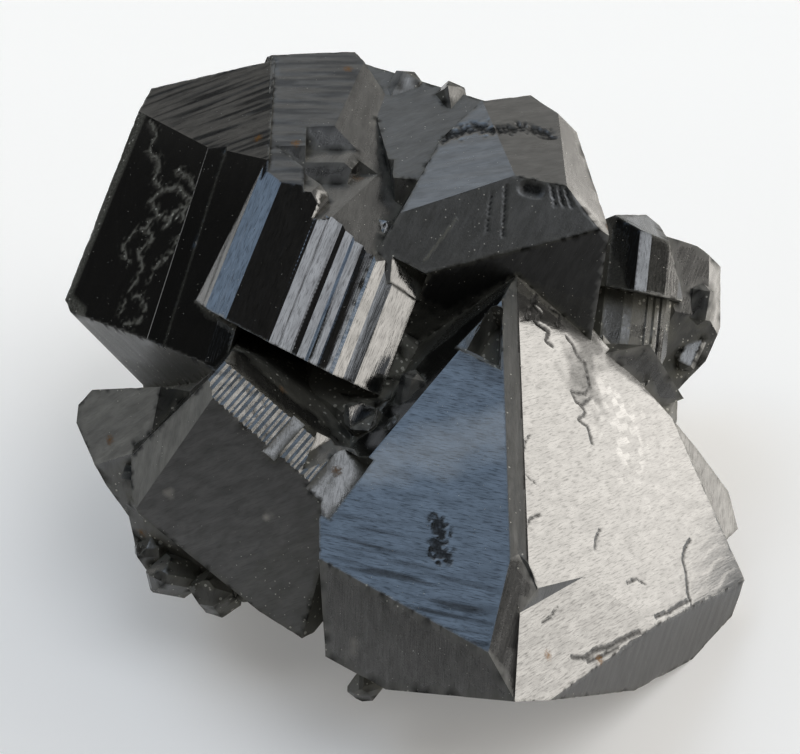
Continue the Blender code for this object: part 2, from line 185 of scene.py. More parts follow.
# The net: every face is covered with points, close together where its marks are fine, so that the
# marks can be raised. Two faces share the points of the edge between them, which keeps it closed.
FLAT_BEND = 1  # degrees that two faces bend by before there is an edge between them
WEARS_FROM = 38  # degrees that they bend by before that edge chips
PRISM_STRETCH = 3.0  # the net's spacing along the marks of a prism face, in spacings across them
ROW_STEP = 0.87  # rows lie this many spacings apart, so that the triangles are even
RIM_GAP = 0.5  # spacings that the net keeps from the outline
points = [vertex.co / MM for vertex in mesh.vertices]  # in mm
kind_number = [kinds.index(kind_of(polygon.normal)) for polygon in mesh.polygons]
spacings = [FINISHES[name][0] for name in kinds]
beside = {}
for polygon in mesh.polygons:
    for key in polygon.edge_keys:
        beside.setdefault(tuple(key), []).append(polygon.index)
edge_run, on_edge_ids, worn_ids = {}, set(), set()
for (first, last), owners in beside.items():
    spacing = min(spacings[kind_number[owner]] for owner in owners)
    steps = max(1, math.ceil((points[last] - points[first]).length / spacing))
    run = [first] + list(range(len(points), len(points) + steps - 1)) + [last]
    points += [points[first].lerp(points[last], step / steps) for step in range(1, steps)]
    edge_run[first, last] = run
    bend = math.degrees(mesh.polygons[owners[0]].normal.angle(mesh.polygons[owners[-1]].normal))
    if bend > FLAT_BEND:
        on_edge_ids.update(run)
    if bend > WEARS_FROM:
        worn_ids.update(run)


def inside(spots, outline):
    """Which of the flat spots lie inside an outline, and how far each one is from it."""
    hits = np.zeros(len(spots), dtype=bool)
    reach = np.full(len(spots), FAR)
    for start, end in zip(outline, np.roll(outline, -1, axis=0)):
        run = end - start
        if start[1] != end[1]:
            crosses = (start[1] > spots[:, 1]) != (end[1] > spots[:, 1])
            hits ^= crosses & (spots[:, 0] < start[0] + run[0] * (spots[:, 1] - start[1]) / run[1])
        share = np.clip(((spots - start) @ run) / max(run @ run, 1e-12), 0, 1)
        reach = np.minimum(reach, np.linalg.norm(spots - start - share[:, None] * run, axis=1))
    return hits, reach


triangles, owner_of, frames, members_of = [], [], [], []
for polygon in mesh.polygons:
    number, normal = kind_number[polygon.index], polygon.normal.copy()
    name = kinds[number]
    along = BELT_C
    if name in PRISMS:
        along = PRISMS[name][0]
    elif name:
        along = looks_tilted(FACES[name][7], facing(*FACES[name][:2]))
    along = (along - normal * along.dot(normal)).normalized()
    across = normal.cross(along)
    frames.append((along, across))
    rim = []
    for index, corner in enumerate(polygon.vertices):
        following = polygon.vertices[(index + 1) % len(polygon.vertices)]
        run = edge_run[min(corner, following), max(corner, following)]
        rim += (run if run[0] == corner else run[::-1])[:-1]
    outline = np.array([(points[i].dot(along), points[i].dot(across)) for i in rim])
    corners = np.array([(points[i].dot(along), points[i].dot(across)) for i in polygon.vertices])
    spacing = spacings[number]
    pitch = spacing * (PRISM_STRETCH if name in PRISMS else 1.0)
    low, high = outline.min(axis=0), outline.max(axis=0)
    columns = np.arange(low[0] + pitch / 2, high[0], pitch)
    rows = np.arange(low[1] + spacing / 2, high[1], spacing * ROW_STEP)
    # every other row is shifted by half a column
    grid = np.array([(x + pitch * (0.5 * (r % 2) - 0.25), y) for r, y in enumerate(rows) for x in columns])
    ids, flat = list(rim), outline
    if len(grid):
        within, reach = inside(grid, corners)
        kept = grid[within & (reach > RIM_GAP * spacing)]
        level = normal.dot(polygon.center) / MM
        ids += range(len(points), len(points) + len(kept))
        points += [along * x + across * y + normal * level for x, y in kept.tolist()]
        flat = np.vstack((outline, kept))
    found = delaunay_2d_cdt([Vector(p) for p in flat.tolist()], [], [list(range(len(rim)))], 1, 1e-5)
    faces_found, came_from = found[2], found[3]
    for face in faces_found:
        three = [ids[came_from[corner][0]] for corner in face if came_from[corner]]
        if len(set(three)) == 3:
            triangles.append(three)
            owner_of.append(polygon.index)
    members_of.append(ids)

# What each point of the net knows: its kind of face, how near an edge it is, and how sheltered it lies.
count = len(points)
places = np.array([p[:] for p in points]) * MM
on_edge = np.zeros(count, dtype=bool)
on_edge[list(on_edge_ids)] = True
home = np.zeros(count, dtype=int)
normals = np.zeros((count, 3))
outwards = np.zeros((count, 3))
for polygon, ids in zip(mesh.polygons, members_of):
    home[ids] = kind_number[polygon.index]
    normals[ids] = polygon.normal[:]
    np.add.at(outwards, ids, np.array(polygon.normal[:]))
outwards /= np.linalg.norm(outwards, axis=1)[:, None] + 1e-9
edge_tree = KDTree(int(on_edge.sum()))
for index in np.nonzero(on_edge)[0]:
    edge_tree.insert(places[index], int(index))
edge_tree.balance()
from_edge = np.array([0.0 if on_edge[i] else edge_tree.find(places[i])[2] / MM for i in range(count)])

whole = bmesh.new()
whole.from_mesh(cad_node.data)
solid = BVHTree.FromBMesh(whole)
whole.free()
SKY_RINGS = ((20, 6), (50, 5), (82, 1))  # (slope in degrees, number of directions at it)
SKY = [facing(360 * k / number + slope, slope) for slope, number in SKY_RINGS for k in range(number)]
OFF_SURFACE, SHELTER_REACH = 0.05, 9  # mm above the face where a ray starts, and mm that it looks
BELOW_FACE = -0.1  # cosine under which a direction counts as lying under the face
UNDER_SHARE = 0.6  # how much such a direction shelters, against one that is blocked
shelter = np.zeros(count)
for index in range(count):
    outward = Vector(outwards[index])
    start = Vector(places[index]) + outward * OFF_SURFACE * MM
    blocked, seen = 0, 0
    for way in SKY:
        if way.dot(outward) > BELOW_FACE:
            seen += 1
            blocked += solid.ray_cast(start, way, SHELTER_REACH * MM)[0] is not None
    shelter[index] = (blocked + (len(SKY) - seen) * UNDER_SHARE) / len(SKY)

# Marks: the lift of each point in mm, and shares from 0 to 1 that the material reads. The lift fades
# out towards the edges, so that two faces still meet there.
lift = np.zeros(count)
gleam = np.ones(count)
dull, marked, dust, etch, fresh, pale_dust_and_reflection, rust = (np.zeros(count) for _ in range(7))
FADE, CLOSE_FADE, BELT_FADE = 0.2, 0.07, 0.17  # mm
close_marks = np.isin(home, [kinds.index(name) for name in PRISMS])
fade_over = np.where(close_marks, CLOSE_FADE, FADE)
fade_over[home == kinds.index("belt")] = BELT_FADE
fade = np.clip(from_edge / fade_over, 0, 1)
fade = fade * fade * (3 - 2 * fade)


def ripple(points, along, across, pitch, seed, stretch=12.0):
    """Uneven striae: noise that changes quickly across the marks and slowly along them."""
    return np.array([
        noise.noise(Vector((p.dot(across) / (pitch * MM), p.dot(along) / (pitch * MM * stretch), seed)))
        for p in (Vector(q) for q in points)
    ])


def scatter(points, size, seed):
    """Smooth noise over the points, with blotches of the given size in mm."""
    return np.array([noise.noise(Vector(p) / (size * MM) + Vector((seed, 0, 0))) for p in points])


def plane_of(name):
    """The ids of the points on a kind of face, and a point and the normal of its plane."""
    ids = np.nonzero(home == kinds.index(name))[0]
    return ids, Vector(places[ids].mean(axis=0)), facing(*FACES[name][:2])


def far_from_line(ids, spots, point, normal):
    """The distance in mm of each point from a line on a face, given by pixels of the picture."""
    path = [np.array(on_face(spot, point, normal)) for spot in spots]
    nearest = np.full(len(ids), FAR)
    for start, end in zip(path[:-1], path[1:]):
        run = end - start
        share = np.clip(((places[ids] - start) @ run) / (run @ run), 0, 1)
        nearest = np.minimum(nearest, np.linalg.norm(places[ids] - start - share[:, None] * run, axis=1))
    return nearest / MM


def near(distance, width, end):
    """1 close to a line and 0 from this many widths away, with a fall over the last of them."""
    return np.clip(end - distance / width, 0, 1)


BELT_WAVE, WAVE_PITCH = 0.035, 1.3  # mm that the striped faces swell and sink by, and over
GROOVED = {"level_top": 0.8, "back_top": 0.4}  # kinds with etched grooves, and how deep their tone is
for polygon, ids, (along, across) in zip(mesh.polygons, members_of, frames):
    number = kind_number[polygon.index]
    name = kinds[number]
    roughness, dusty, depth, pitch = FINISHES[name][1:]
    dull[ids] = roughness
    dust[ids] = dusty
    gleam[ids] = GLEAMS.get(name, 1.0)
    marked[ids] = MARKED.get(name, FAINTLY_MARKED)
    lift[ids] = ripple(places[ids], along, across, pitch, float(number)) * depth
    if name in GROOVED:
        grooves = ripple(places[ids], along, across, 0.32, 9.0, 16.0)
        etch[ids] = np.clip(grooves * 3 - 0.2, 0, GROOVED[name])
    if name == "belt":
        lift[ids] += ripple(places[ids], along, across, WAVE_PITCH, 5.0, 8.0) * BELT_WAVE

# growth steps on the bright face: low treads that tip up a little, with short risers between them
STEP_PITCH, TREAD_TIP, TREAD = 0.8, 0.5, 0.82  # mm, degrees, and the share of a step that is its tread
bright, bright_point, bright_normal = plane_of("bright")
bright_along = looks_tilted(FACES["bright"][7], bright_normal)
bright_across = np.array(bright_normal.cross(bright_along))
level = places[bright] @ bright_across / MM + 0.5 * scatter(places[bright], 2.5, 3.0)
phase = (level / STEP_PITCH) % 1.0
tread = np.where(phase < TREAD, phase / TREAD, (1 - phase) / (1 - TREAD))
lift[bright] += tread * STEP_PITCH * math.tan(math.radians(TREAD_TIP))

# etched scrawls in the bright face, each with its width in mm
SCRAWL_DEPTH, SCRAWL_JITTER = 0.05, 0.07  # mm
SCRAWLS = [
    (0.11, [(529, 283), (538, 292), (532, 303), (541, 312), (536, 322), (549, 331), (546, 341), (553, 346)]),
    (0.09, [(541, 287), (552, 296), (549, 308), (560, 314), (557, 325)]),
    (0.10, [(536, 300), (529, 309), (527, 318)]),
    (0.09, [(567, 337), (573, 345), (577, 355), (585, 363), (588, 378)]),
    (0.10, [(588, 378), (590, 388), (585, 394), (572, 392), (576, 402), (583, 405), (592, 397)]),
    (0.09, [(580, 404), (586, 413), (579, 420), (588, 427), (592, 443)]),
    (0.05, [(530, 435), (526, 441), (524, 450)]),
    (0.05, [(524, 473), (530, 479), (540, 487)]),
    (0.06, [(540, 514), (531, 519), (524, 530)]),
    (0.06, [(600, 530), (596, 540), (595, 550)]),
    (0.07, [(691, 540), (685, 549), (683, 560), (687, 575), (688, 592), (692, 606)]),
    (0.05, [(543, 623), (551, 617), (558, 607)]),
    (0.06, [(628, 583), (637, 579), (645, 584)]),
    (0.13, [(573, 657), (586, 658), (596, 650), (612, 646), (622, 640), (640, 632)]),
    (0.09, [(588, 662), (604, 655), (618, 648)]),
    (0.08, [(656, 617), (668, 613), (680, 606), (691, 600)]),
]
for name in ("bright", "bright_foot"):
    mine, middle, face_normal = plane_of(name)
    jitter = SCRAWL_JITTER * scatter(places[mine], 0.25, 7.0)
    for width, spots in SCRAWLS:
        reach = far_from_line(mine, spots, middle, face_normal) + jitter
        etch[mine] = np.maximum(etch[mine], near(reach, width, 1.6))
        lift[mine] -= SCRAWL_DEPTH * near(reach, width, 1.5)

# fresh tiles of the bright face, which shine more than the rest, and an etched veil beside them
TILE_LONG, TILE_HIGH, TILE_LIFT = 0.62, 0.4, 0.006  # mm
FRESH_LINE = [(606, 402), (622, 418), (628, 446)]
VEIL_LINE = [(570, 318), (588, 345), (582, 385)]
patch = far_from_line(bright, FRESH_LINE, bright_point, bright_normal)
columns = places[bright] @ np.array(bright_along) / MM / TILE_LONG + 0.4 * scatter(places[bright], 0.8, 1.0)
rows = places[bright] @ bright_across / MM / TILE_HIGH + 0.4 * scatter(places[bright], 0.8, 2.0)
cells = zip(np.floor(columns) + 0.5, np.floor(rows) + 0.5)
tile = np.array([noise.cell(Vector((column, row, 0.5))) for column, row in cells])
fresh[bright] = np.clip((1.7 - patch) * 3, 0, 1) * (tile > 0.35)
fresh[bright] += 0.35 * (tile > 0.72) * np.clip((5 - patch) * 0.5, 0, 1)
lift[bright] += fresh[bright] * TILE_LIFT
veil = far_from_line(bright, VEIL_LINE, bright_point, bright_normal)
veil = np.clip(1.4 - veil / 1.5 + 0.8 * scatter(places[bright], 0.9, 4.0), 0, 1)
etch[bright] = np.maximum(etch[bright], 0.7 * veil)

# the blue face: an etched patch, a pale grey-brown band painted across it as a painted reflection, an etched
# top, and coarse grooves along its foot
PATCH_DEPTH, PATCH_REACH = 0.03, 0.42  # mm
PATCH_LINE = [(436, 520), (442, 535), (436, 548), (446, 556)]
REFLECTION_BAND_LINE = [(380, 462), (450, 447), (510, 425)]
TOP_LINE = [(465, 352), (500, 372)]
FOOT_LINE = [(318, 520), (400, 590), (470, 625)]
mine, blue_point, blue_normal = plane_of("blue")
reach = far_from_line(mine, PATCH_LINE, blue_point, blue_normal)
etch[mine] = np.clip((PATCH_REACH - reach + 0.5 * scatter(places[mine], 0.22, 2.0)) * 5, 0, 1)
lift[mine] -= PATCH_DEPTH * etch[mine]
# painted reflection: a pale grey-brown band of colour across the mirror face
painted_reflection_band = far_from_line(mine, REFLECTION_BAND_LINE, blue_point, blue_normal)
pale_dust_and_reflection[mine] = 0.42 * np.clip(1.4 - painted_reflection_band / 1.5 + 0.5 * scatter(places[mine], 1.2, 8.0), 0, 1)
top = far_from_line(mine, TOP_LINE, blue_point, blue_normal)
top = np.clip(1.4 - top / 0.8 + 0.6 * scatter(places[mine], 0.6, 3.0), 0, 1)
etch[mine] = np.maximum(etch[mine], 0.35 * top)
foot = near(far_from_line(mine, FOOT_LINE, blue_point, blue_normal), 2.2, 1.4)
lift[mine] *= 1 + 2.5 * foot
blue_along = looks_tilted(FACES["blue"][7], blue_normal)
grooves = ripple(places[mine], blue_along, blue_normal.cross(blue_along), 0.3, 9.0, 14.0)
etch[mine] = np.maximum(etch[mine], 0.7 * foot * np.clip(grooves * 3 - 0.1, 0, 1))

# the hole, ribs and lines of the brown front, the etched band across the grey top, and a scratch
DEEPEST = 0.12  # mm
BROW_JITTER, BAND_JITTER = 0.05, 0.6  # mm
BROW_SCRAWLS = [
    (0.34, [(527, 188), (537, 190)]),
    (0.07, [(552, 187), (556, 205)]),
    (0.07, [(559, 188), (564, 206)]),
    (0.07, [(566, 190), (572, 206)]),
    (0.05, [(506, 186), (503, 238)]),
    (0.04, [(492, 190), (487, 232)]),
]
TOP_BAND = [(0.3, [(444, 137), (462, 131), (480, 127), (505, 130), (524, 127), (548, 135)])]
SCRATCH = [(424, 261), (440, 240), (456, 219)]
for name, scrawls, ragged in (
    ("brown_front", BROW_SCRAWLS, BROW_JITTER),
    ("grey_top", TOP_BAND, BAND_JITTER),
    ("grey_top_right", TOP_BAND, BAND_JITTER),
):
    mine, middle, face_normal = plane_of(name)
    jitter = ragged * scatter(places[mine], 0.22, 12.0)
    for width, spots in scrawls:
        mark = near(far_from_line(mine, spots, middle, face_normal) + jitter, width, 1.5)
        etch[mine] = np.maximum(etch[mine], mark)
        lift[mine] -= min(width, DEEPEST) * mark
mine, middle, face_normal = plane_of("brown_front")
scratch = near(far_from_line(mine, SCRATCH, middle, face_normal), 0.08, 1.5)
dust[mine] = np.maximum(dust[mine], scratch)

# pale scrawls with a fuzz of dust round them on the widest mirror face, and its dusty rim
MIRROR_SCRAWLS = [
    (0.08, [(150, 120), (156, 135), (149, 150), (160, 163), (154, 180), (163, 190), (178, 186), (190, 200)]),
    (0.08, [(163, 190), (150, 200), (158, 214), (146, 226), (152, 240), (138, 252), (143, 268), (130, 290)]),
    (0.07, [(190, 200), (182, 214), (190, 228), (176, 240), (170, 256), (158, 262), (150, 278)]),
    (0.07, [(178, 170), (190, 178), (196, 192), (188, 205), (172, 212), (166, 226)]),
    (0.06, [(146, 226), (133, 232), (122, 246), (128, 262)]),
    (0.06, [(121, 312), (126, 298), (140, 296), (146, 308), (138, 322), (124, 324)]),
    (0.05, [(158, 214), (170, 220), (182, 214)]),
]
RIM_LINE = [(152, 92), (68, 298), (82, 312)]
FUZZ_WIDTH, RIM_WIDTH, MIRROR_DEPTH = 0.55, 0.35, 0.03  # mm
mirrors = [polygon for polygon in mesh.polygons if kinds[kind_number[polygon.index]] == "mirror"]
wide = max(mirrors, key=lambda polygon: polygon.area)
mine = np.array(sorted(set(members_of[wide.index])))
wide_normal, wide_point = wide.normal.copy(), wide.center.copy()
jitter = 0.09 * scatter(places[mine], 0.2, 9.0)
flecks = np.clip(scatter(places[mine], 0.16, 6.0) * 4, 0, 1)
for width, spots in MIRROR_SCRAWLS:
    reach = far_from_line(mine, spots, wide_point, wide_normal) + jitter
    mark = near(reach, width, 1.7)
    fuzz = 0.5 * near(reach, FUZZ_WIDTH, 1.3) * flecks
    dust[mine] = np.maximum(dust[mine], np.maximum(0.8 * mark, fuzz))
    gleam[mine] = np.maximum(gleam[mine], mark)
    lift[mine] -= MIRROR_DEPTH * mark
rim_dust = 0.55 * near(far_from_line(mine, RIM_LINE, wide_point, wide_normal), RIM_WIDTH, 1.6)
dust[mine] = np.maximum(dust[mine], rim_dust)

# rust spots and pale spots, wherever a line of sight through the pixel meets the solid
RUST_SPOTS = [
    (600, 660), (337, 471), (283, 390), (143, 533), (110, 440), (296, 143),
    (358, 179), (258, 138), (348, 69), (606, 226), (548, 655),
]
PALE_SPOTS = [(267, 517), (169, 493), (352, 645), (350, 652)]
for spots, layer, strength, width, end in (
    (RUST_SPOTS, rust, 1.0, 0.5, 1.2),
    (PALE_SPOTS, pale_dust_and_reflection, 0.8, 0.22, 1.4),
):
    for spot in spots:
        ray = (on_face(spot, CAMERA_AIM, VIEW) - EYE).normalized()
        hit = solid.ray_cast(EYE, ray)[0]
        if hit is not None:
            away = np.linalg.norm(places - np.array(hit), axis=1) / MM
            np.maximum(layer, strength * near(away, width, end), out=layer)

# The points move: growth marks along the face's normal, and worn edges a hair inwards.
CHIPS = ((0.5, 0.0, 0.05), (1.9, 0.3, 0.12))  # (size in mm, least noise that chips, depth in mm)
moved = places + normals * (lift * fade)[:, None] * MM
for index in sorted(worn_ids):
    spot = Vector(places[index])
    chip = sum(max(0.0, noise.noise(spot / (size * MM)) - least) * depth for size, least, depth in CHIPS)
    moved[index] -= outwards[index] * chip * MM

# worn edges, grime in sheltered places, and dark nicks beside worn edges
WORN_REACH, NICK_REACH, NICK_SIZE = 0.14, 0.13, 0.45  # mm
GRIME_FROM, GRIME_RISE = 0.30, 2.2
worn_tree = KDTree(len(worn_ids))
for index in worn_ids:
    worn_tree.insert(places[index], index)
worn_tree.balance()
from_worn = np.array([worn_tree.find(place)[2] / MM for place in places])
worn = np.exp(-((from_worn / WORN_REACH) ** 2))
grime = np.clip((shelter - GRIME_FROM) * GRIME_RISE, 0, 1)
nicks = near(from_worn, NICK_REACH, 1.3) * np.clip(scatter(places, NICK_SIZE, 13.0) * 4 - 0.3, 0, 1)
etch = np.maximum(etch, np.where(close_marks, 0, 0.9) * nicks)

# The netted mesh: sharp where two of the solid's faces meet, smooth elsewhere. Its UV map, in mm,
# runs along and across each face's growth marks.
netted = bpy.data.meshes.new("crystals")
netted.from_pydata(moved.tolist(), [], triangles)
owner_of_loop = np.repeat(np.array(owner_of), 3)
edge_of_loop = np.zeros(len(netted.loops), dtype=int)
netted.loops.foreach_get("edge_index", edge_of_loop)
lowest = np.full(len(netted.edges), len(owner_of))
highest = np.full(len(netted.edges), -1)
np.minimum.at(lowest, edge_of_loop, owner_of_loop)
np.maximum.at(highest, edge_of_loop, owner_of_loop)
source_normals = np.array([polygon.normal[:] for polygon in mesh.polygons])
cosine = (source_normals[lowest] * source_normals[highest]).sum(axis=1)
sharp = netted.attributes.new("sharp_edge", "BOOLEAN", "EDGE")
sharp.data.foreach_set("value", (cosine < math.cos(math.radians(FLAT_BEND))).tolist())
loop_points = np.zeros(len(netted.loops), dtype=int)
netted.loops.foreach_get("vertex_index", loop_points)
loop_places = places[loop_points] / MM
alongs, acrosses = (np.array([pair[k][:] for pair in frames])[owner_of_loop] for k in (0, 1))
flat_places = np.stack([(loop_places * ways).sum(axis=1) for ways in (alongs, acrosses)], axis=1)
netted.uv_layers.new(name="growth").data.foreach_set("uv", flat_places.ravel())
netted.shade_smooth()
cluster.data = netted
marks = {
    "dull": dull,
    "gleam": gleam,
    "marked": marked,
    "dust": dust,
    "etch": etch,
    "fresh": fresh,
    "pale_dust_and_reflection": pale_dust_and_reflection,
    "rust": rust,
    "worn": worn,
    "grime": grime,
}
for name, values in marks.items():
    layer = netted.attributes.new(name, "FLOAT", "POINT")
    layer.data.foreach_set("value", values.astype(np.float32))
netted.update()

# Lustrous cassiterite: tin oxide with an index of refraction near 2, so its near-black faces mirror as
# no glass does. Dust sits in the clefts, worn edges are grey, and iron has left rusty spots.
# It gives the eye hard bright mirrors beside black ones, each broken by fine strokes and loose grains.
IOR = 2.05
# the pale tone is both the colour of pale dust specks and a painted reflection on the blue face
BLACK, DUST, PALE_DUST_AND_REFLECTION, DOTS, PIT, RUST = "0d0d0c", "5f5e56", "8a857c", "b4b2a8", "090908", "7a5526"
GRAIN_PITCH = 0.27  # mm between loose grains of dust
BUMP_DEPTH, BUMP_STRENGTH = 0.02, 0.5  # mm, and the share of it that shows
NOISE_ROUGHNESS = 0.6
stone = bpy.data.materials.new("lustrous cassiterite")
stone.use_nodes = True
stone.node_tree.nodes.clear()
tree = stone.node_tree
place = add(tree, "ShaderNodeTexCoord").outputs["Object"]
growth = add(tree, "ShaderNodeUVMap", {"uv_map": "growth"}).outputs["UV"]
known = {name: add(tree, "ShaderNodeAttribute", {"attribute_name": name}).outputs["Fac"] for name in marks}

# noise along the growth marks, as (size in mm, detail, squeeze along the marks), and noise in space
STREAKS = {"striae": (0.11, 3.0, 0.08), "wide_striae": (0.5, 2.0, 0.08), "strokes": (0.08, 2.0, 0.12)}
CLOUDS = {"fluff": (0.12, 4.0), "cloud": (1.6, 4.0)}
texture = {}
for name, (size, detail, squeeze) in STREAKS.items():
    run = add(tree, "ShaderNodeMapping", {"Scale": (squeeze, 1.0, 1.0)}, {"Vector": growth})
    settings = {"Scale": 1 / size, "Detail": detail, "Roughness": NOISE_ROUGHNESS}
    streaks = add(tree, "ShaderNodeTexNoise", settings, {"Vector": run.outputs["Vector"]})
    texture[name] = streaks.outputs["Fac"]
for name, (size, detail) in CLOUDS.items():
    settings = {"Scale": 1 / (size * MM), "Detail": detail, "Roughness": NOISE_ROUGHNESS}
    texture[name] = add(tree, "ShaderNodeTexNoise", settings, {"Vector": place}).outputs["Fac"]

# film: thin dust where it can settle, thick in the clefts and along worn edges, in uneven patches
film = known["dust"]
for name, share in (("grime", 0.85), ("worn", 0.28)):
    settings = {"operation": "MULTIPLY_ADD", 1: share}
    film = add(tree, "ShaderNodeMath", settings, {0: known[name], 2: film}).outputs[0]
patchy = add(tree, "ShaderNodeMath", {"operation": "MULTIPLY", 1: 0.6}, {0: texture["cloud"]}).outputs[0]
settings = {"operation": "MULTIPLY_ADD", 1: 1.5}
patchy = add(tree, "ShaderNodeMath", settings, {0: texture["fluff"], 2: patchy}).outputs[0]
settings = {"operation": "MULTIPLY_ADD", "use_clamp": True, 2: -0.12}
film = add(tree, "ShaderNodeMath", settings, {0: film, 1: patchy}).outputs[0]

# grains: loose specks of many sizes, more of them where the film is thick
settings = {"Scale": 1 / (GRAIN_PITCH * MM), "Randomness": 1.0}
speck = add(tree, "ShaderNodeTexVoronoi", settings, {"Vector": place})
speck_size = add(tree, "ShaderNodeSeparateColor", None, {"Color": speck.outputs["Color"]}).outputs["Red"]
spread = add(tree, "ShaderNodeMath", {"operation": "POWER", 1: 2.0}, {0: speck_size}).outputs[0]
spread = add(tree, "ShaderNodeMath", {"operation": "MULTIPLY", 1: 0.42}, {0: spread}).outputs[0]
room = add(tree, "ShaderNodeMath", {"operation": "ADD", 1: 0.22}, {0: film}).outputs[0]
limit = add(tree, "ShaderNodeMath", {"operation": "MULTIPLY"}, {0: room, 1: spread}).outputs[0]
settings = {"operation": "GREATER_THAN"}
grains = add(tree, "ShaderNodeMath", settings, {0: limit, 1: speck.outputs["Distance"]}).outputs[0]
grains = add(tree, "ShaderNodeMath", {"operation": "MULTIPLY", 1: 0.75}, {0: grains}).outputs[0]

# etched skin and rust, both broken up by the fine noise
settings = {"operation": "MULTIPLY_ADD", 1: 0.9, 2: 0.5}
broken = add(tree, "ShaderNodeMath", settings, {0: texture["fluff"]}).outputs[0]
settings = {"operation": "MULTIPLY", "use_clamp": True}
etched = add(tree, "ShaderNodeMath", settings, {0: known["etch"], 1: broken}).outputs[0]
broken = add(tree, "ShaderNodeMath", {"operation": "MULTIPLY", 1: 2.0}, {0: texture["fluff"]}).outputs[0]
settings = {"operation": "MULTIPLY_ADD", "use_clamp": True, 2: -0.45}
rusty = add(tree, "ShaderNodeMath", settings, {0: known["rust"], 1: broken}).outputs[0]

# colour: near-black stone under the film of dust, then pale dust specks and the blue face's painted
# reflection band, grains, etched skin and rust over it
settings = {"data_type": "RGBA", 6: linear(BLACK), 7: linear(DUST)}
colour = add(tree, "ShaderNodeMix", settings, {0: film}).outputs[2]
for share, code in ((known["pale_dust_and_reflection"], PALE_DUST_AND_REFLECTION), (grains, DOTS), (etched, PIT), (rusty, RUST)):
    settings = {"data_type": "RGBA", 7: linear(code)}
    colour = add(tree, "ShaderNodeMix", settings, {0: share, 6: colour}).outputs[2]

# roughness: each face's own, uneven along its striae, and more where anything lies on it
settings = {"operation": "MULTIPLY_ADD", 1: 0.7, 2: 0.65}
uneven = add(tree, "ShaderNodeMath", settings, {0: texture["wide_striae"]}).outputs[0]
rough = add(tree, "ShaderNodeMath", {"operation": "MULTIPLY"}, {0: known["dull"], 1: uneven}).outputs[0]
for cover, share in ((film, 0.5), (grains, 0.5), (etched, 0.35), (rusty, 0.6)):
    settings = {"operation": "MULTIPLY_ADD", "use_clamp": True, 1: share}
    rough = add(tree, "ShaderNodeMath", settings, {0: cover, 2: rough}).outputs[0]

# polish: patches of a face that dissolved a little mirror less, strokes break it, fresh tiles shine
settings = {"Scale": (0.55, 1.6, 1.0)}
patch_run = add(tree, "ShaderNodeMapping", settings, {"Vector": growth}).outputs["Vector"]
settings = {"Scale": 1.1, "Detail": 3.0, "Roughness": 0.65, "Distortion": 0.4}
patches = add(tree, "ShaderNodeTexNoise", settings, {"Vector": patch_run}).outputs["Fac"]
settings = {"From Min": 0.35, "From Max": 0.65, "To Min": 0.36, "To Max": 0.5}
polish = add(tree, "ShaderNodeMapRange", settings, {"Value": patches}).outputs["Result"]
settings = {"From Min": 0.5, "From Max": 0.68, "To Min": 0.0, "To Max": 0.55}
strokes = add(tree, "ShaderNodeMapRange", settings, {"Value": texture["strokes"]}).outputs["Result"]
settings = {"operation": "MULTIPLY"}
strokes = add(tree, "ShaderNodeMath", settings, {0: strokes, 1: known["marked"]}).outputs[0]
strokes = add(tree, "ShaderNodeMath", {"operation": "SUBTRACT", 0: 1.0}, {1: strokes}).outputs[0]
for factor in (strokes, known["gleam"]):
    polish = add(tree, "ShaderNodeMath", {"operation": "MULTIPLY"}, {0: polish, 1: factor}).outputs[0]
settings = {"operation": "MULTIPLY_ADD", 1: 0.18}
polish = add(tree, "ShaderNodeMath", settings, {0: known["fresh"], 2: polish}).outputs[0]
for cover, share in ((film, 0.75), (etched, 0.85), (rusty, 0.9)):
    settings = {"operation": "MULTIPLY_ADD", 1: -share, 2: 1.0}
    bare = add(tree, "ShaderNodeMath", settings, {0: cover}).outputs[0]
    polish = add(tree, "ShaderNodeMath", {"operation": "MULTIPLY"}, {0: polish, 1: bare}).outputs[0]

relief = add(tree, "ShaderNodeMath", {"operation": "MULTIPLY", 1: 0.5}, {0: texture["striae"]}).outputs[0]
for cover, share in ((film, 1.4), (grains, 1.2)):
    settings = {"operation": "MULTIPLY_ADD", 1: share}
    relief = add(tree, "ShaderNodeMath", settings, {0: cover, 2: relief}).outputs[0]
settings = {"Strength": BUMP_STRENGTH, "Distance": BUMP_DEPTH * MM}
bump = add(tree, "ShaderNodeBump", settings, {"Height": relief}).outputs["Normal"]
inputs = {"Base Color": colour, "Roughness": rough, "Specular IOR Level": polish, "Normal": bump}
surface = add(tree, "ShaderNodeBsdfPrincipled", {"IOR": IOR}, inputs)
add(tree, "ShaderNodeOutputMaterial", None, {"Surface": surface.outputs["BSDF"]})
cluster.data.materials.clear()
cluster.data.materials.append(stone)
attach(cluster, "root")
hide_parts("cassiterite_cluster")

# The table: one round sheet of card under the specimen. It ends on the right, out of the picture, so
# that the bright face mirrors the light there and not the card.
TABLE_RADIUS, TABLE_MIDDLE = 0.2, (-0.135, 0.02, 0)
# painted shade: the card's colour runs from a darker tone in front to a paler one behind, for light that
# falls off towards the front
FRONT_PAINTED_SHADE, BACK_LIT_TONE = "e6e3df", "f4f2ee"
SHADE_FROM, SHADE_TO = -0.05, 0.06  # where along Y the front tone ends and the back tone begins
bpy.ops.mesh.primitive_circle_add(vertices=96, radius=TABLE_RADIUS, fill_type="NGON", location=TABLE_MIDDLE)
bpy.ops.object.transform_apply(location=True, rotation=False, scale=False)
table = bpy.context.object
table.name = "table"
